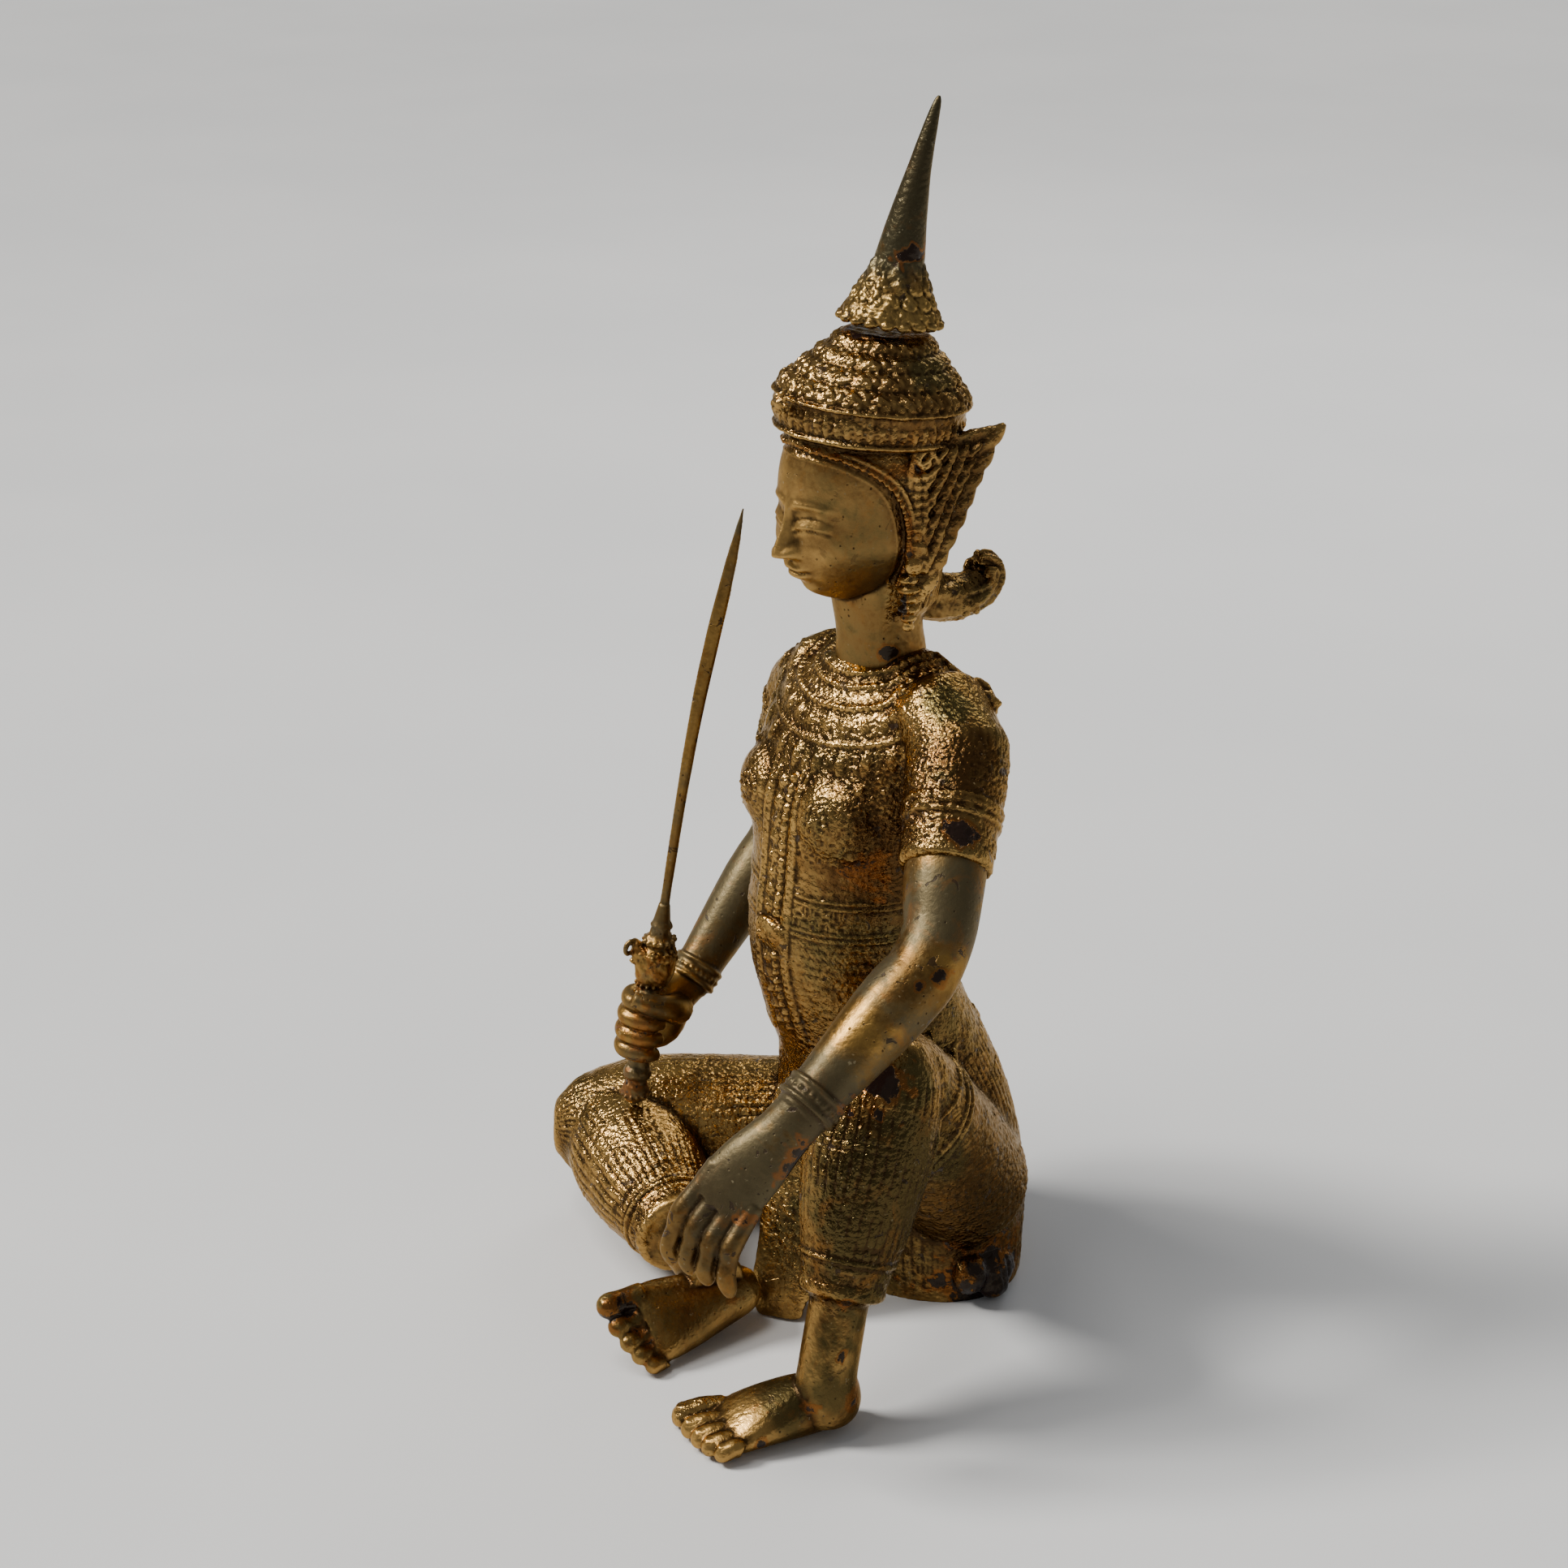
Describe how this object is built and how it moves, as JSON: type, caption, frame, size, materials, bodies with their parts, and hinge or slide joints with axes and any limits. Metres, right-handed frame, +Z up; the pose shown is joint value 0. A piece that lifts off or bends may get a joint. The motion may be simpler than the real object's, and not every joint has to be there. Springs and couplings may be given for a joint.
{
  "type": "seated guardian statue",
  "caption": "Gilt bronze seated guardian with one knee raised, a sword held upright, a tiered crown with a tapering spire, ear flares and jewelled dress.",
  "frame": {"origin": "on the ground, at the middle of the flat underside of the seat", "axes": "+Z up, the figure faces -Y and its own left is +X"},
  "size_m": [0.2082, 0.1961, 0.436],
  "materials": {
    "gilding": "worn gilding over dark lacquer on cast bronze, with dust in the hollows",
    "bare_bronze": "rubbed olive-grey bronze with patches of gilding",
    "dark_bronze": "dark satin bronze with traces of gilding"
  },
  "bodies": {
    "root": {"figure": "gilding", "left_arm": "bare_bronze", "right_arm": "bare_bronze", "crown_finial": "dark_bronze", "sword": "dark_bronze"}
  },
  "joints": []
}
